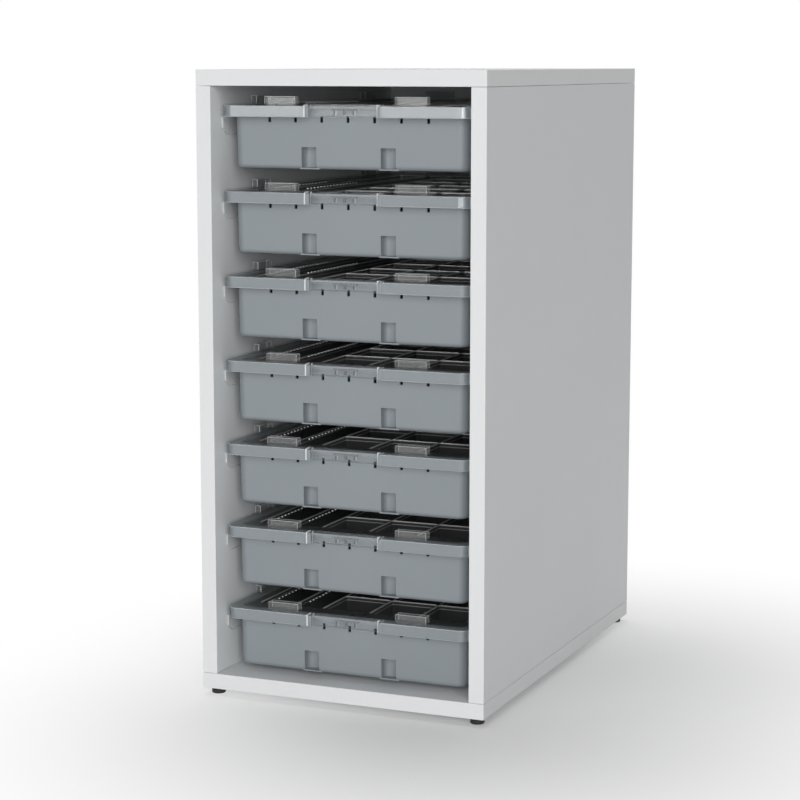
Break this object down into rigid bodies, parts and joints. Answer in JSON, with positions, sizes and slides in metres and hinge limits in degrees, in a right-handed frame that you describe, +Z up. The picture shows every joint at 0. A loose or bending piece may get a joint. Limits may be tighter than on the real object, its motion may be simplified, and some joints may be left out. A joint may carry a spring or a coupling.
{
  "type": "classroom tray storage unit",
  "caption": "White board cabinet with a stack of clear-lidded grey trays that slide out on clear side runners, each holding a black sorting insert.",
  "frame": {"origin": "middle of the footprint, on the floor under the glides", "axes": "+Z up, +X to the right seen from the front, the open front towards -Y"},
  "size_m": [0.348, 0.531, 0.719],
  "materials": {
    "board": "white melamine faced board with matching edging, satin",
    "beech": "plain fluted dowel",
    "grey_plastic": "moulded, fine satin texture",
    "clear_plastic": "clear, polished",
    "black_plastic": "moulded, satin",
    "foot_plastic": "moulded, satin"
  },
  "bodies": {
    "cabinet": {"top_panel": "board", "bottom_panel": "board", "left_side_panel": "board", "right_side_panel": "board", "back_panel": "board", "dowel_top_left_front": "beech", "dowel_top_left_rear": "beech", "dowel_top_right_front": "beech", "dowel_top_right_rear": "beech", "dowel_bottom_left_front": "beech", "dowel_bottom_left_rear": "beech", "dowel_bottom_right_front": "beech", "dowel_bottom_right_rear": "beech", "foot_front_left": "foot_plastic", "foot_front_right": "foot_plastic", "foot_rear_left": "foot_plastic", "foot_rear_right": "foot_plastic", "left_runner_1": "clear_plastic", "right_runner_1": "clear_plastic", "left_runner_2": "clear_plastic", "right_runner_2": "clear_plastic", "left_runner_3": "clear_plastic", "right_runner_3": "clear_plastic", "left_runner_4": "clear_plastic", "right_runner_4": "clear_plastic", "left_runner_5": "clear_plastic", "right_runner_5": "clear_plastic", "left_runner_6": "clear_plastic", "right_runner_6": "clear_plastic", "left_runner_7": "clear_plastic", "right_runner_7": "clear_plastic"},
    "drawer_1": {"tray_1": "grey_plastic", "insert_1": "black_plastic", "label_holder_1": "clear_plastic"},
    "cover_1": {"lid_1": "clear_plastic"},
    "drawer_2": {"tray_2": "grey_plastic", "insert_2": "black_plastic", "label_holder_2": "clear_plastic"},
    "cover_2": {"lid_2": "clear_plastic"},
    "drawer_3": {"tray_3": "grey_plastic", "insert_3": "black_plastic", "label_holder_3": "clear_plastic"},
    "cover_3": {"lid_3": "clear_plastic"},
    "drawer_4": {"tray_4": "grey_plastic", "insert_4": "black_plastic", "label_holder_4": "clear_plastic"},
    "cover_4": {"lid_4": "clear_plastic"},
    "drawer_5": {"tray_5": "grey_plastic", "insert_5": "black_plastic", "label_holder_5": "clear_plastic"},
    "cover_5": {"lid_5": "clear_plastic"},
    "drawer_6": {"tray_6": "grey_plastic", "insert_6": "black_plastic", "label_holder_6": "clear_plastic"},
    "cover_6": {"lid_6": "clear_plastic"},
    "drawer_7": {"tray_7": "grey_plastic", "insert_7": "black_plastic", "label_holder_7": "clear_plastic"},
    "cover_7": {"lid_7": "clear_plastic"}
  },
  "joints": [
    {"name": "tray_slide_1", "type": "slide", "parent": "cabinet", "child": "drawer_1", "axis": [0, -1, 0], "range_m": [0, 0.35]},
    {"name": "lid_lift_1", "type": "slide", "parent": "drawer_1", "child": "cover_1", "axis": [0, 0, 1], "range_m": [0, 0.01]},
    {"name": "tray_slide_2", "type": "slide", "parent": "cabinet", "child": "drawer_2", "axis": [0, -1, 0], "range_m": [0, 0.35]},
    {"name": "lid_lift_2", "type": "slide", "parent": "drawer_2", "child": "cover_2", "axis": [0, 0, 1], "range_m": [0, 0.01]},
    {"name": "tray_slide_3", "type": "slide", "parent": "cabinet", "child": "drawer_3", "axis": [0, -1, 0], "range_m": [0, 0.35]},
    {"name": "lid_lift_3", "type": "slide", "parent": "drawer_3", "child": "cover_3", "axis": [0, 0, 1], "range_m": [0, 0.01]},
    {"name": "tray_slide_4", "type": "slide", "parent": "cabinet", "child": "drawer_4", "axis": [0, -1, 0], "range_m": [0, 0.35]},
    {"name": "lid_lift_4", "type": "slide", "parent": "drawer_4", "child": "cover_4", "axis": [0, 0, 1], "range_m": [0, 0.01]},
    {"name": "tray_slide_5", "type": "slide", "parent": "cabinet", "child": "drawer_5", "axis": [0, -1, 0], "range_m": [0, 0.35]},
    {"name": "lid_lift_5", "type": "slide", "parent": "drawer_5", "child": "cover_5", "axis": [0, 0, 1], "range_m": [0, 0.01]},
    {"name": "tray_slide_6", "type": "slide", "parent": "cabinet", "child": "drawer_6", "axis": [0, -1, 0], "range_m": [0, 0.35]},
    {"name": "lid_lift_6", "type": "slide", "parent": "drawer_6", "child": "cover_6", "axis": [0, 0, 1], "range_m": [0, 0.01]},
    {"name": "tray_slide_7", "type": "slide", "parent": "cabinet", "child": "drawer_7", "axis": [0, -1, 0], "range_m": [0, 0.35]},
    {"name": "lid_lift_7", "type": "slide", "parent": "drawer_7", "child": "cover_7", "axis": [0, 0, 1], "range_m": [0, 0.01]}
  ]
}
